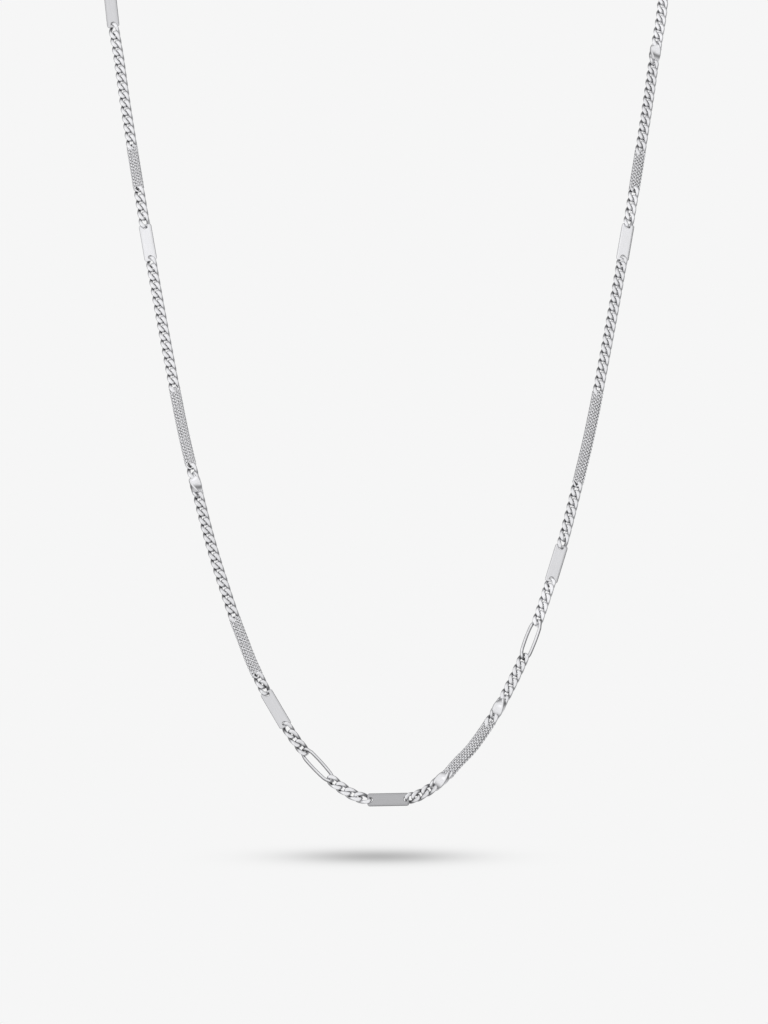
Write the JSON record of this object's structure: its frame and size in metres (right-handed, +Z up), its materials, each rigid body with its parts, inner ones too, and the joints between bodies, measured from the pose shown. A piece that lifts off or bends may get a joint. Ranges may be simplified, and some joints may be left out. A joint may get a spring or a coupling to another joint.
{
  "type": "panel link necklace chain",
  "caption": "Slim neck chain of twisted curb links broken up by flat satin bars, woven mesh bands, twisted polished links and long open links, in its worn, hanging form.",
  "frame": {"origin": "middle of the clasp, where the chain lies on the nape", "axes": "+Z up, -Y to the wearer's front, +X to the right of someone who faces the wearer"},
  "size_m": [0.1288, 0.1075, 0.2189],
  "materials": {
    "polished_link": "polished, tumbled bright",
    "satin_bar": "satin, brushed along its length, with bright bevels",
    "woven_band": "tiny polished rings woven close, dark between them",
    "clasp_metal": "polished"
  },
  "bodies": {
    "root": {"bar_1": "satin_bar", "bar_2": "satin_bar", "bar_3": "satin_bar", "bar_4": "satin_bar", "bar_5": "satin_bar", "bar_6": "satin_bar", "mesh_1": "woven_band", "mesh_2": "woven_band", "mesh_3": "woven_band", "mesh_4": "woven_band", "mesh_5": "woven_band", "mesh_6": "woven_band", "twist_link_1": "polished_link", "twist_link_2": "polished_link", "twist_link_3": "polished_link", "twist_link_4": "polished_link", "long_link_1": "polished_link", "long_link_2": "polished_link", "curb_run_1": "polished_link", "curb_run_2": "polished_link", "curb_run_3": "polished_link", "curb_run_4": "polished_link", "curb_run_5": "polished_link", "curb_run_6": "polished_link", "curb_run_7": "polished_link", "curb_run_8": "polished_link", "curb_run_9": "polished_link", "curb_run_10": "polished_link", "curb_run_11": "polished_link", "curb_run_12": "polished_link", "curb_run_13": "polished_link", "curb_run_14": "polished_link", "curb_run_15": "polished_link", "curb_run_16": "polished_link", "curb_run_17": "polished_link", "curb_run_18": "polished_link", "back_chain_left": "polished_link", "back_chain_right": "polished_link", "clasp": "clasp_metal", "clasp_ring": "clasp_metal"}
  },
  "joints": []
}
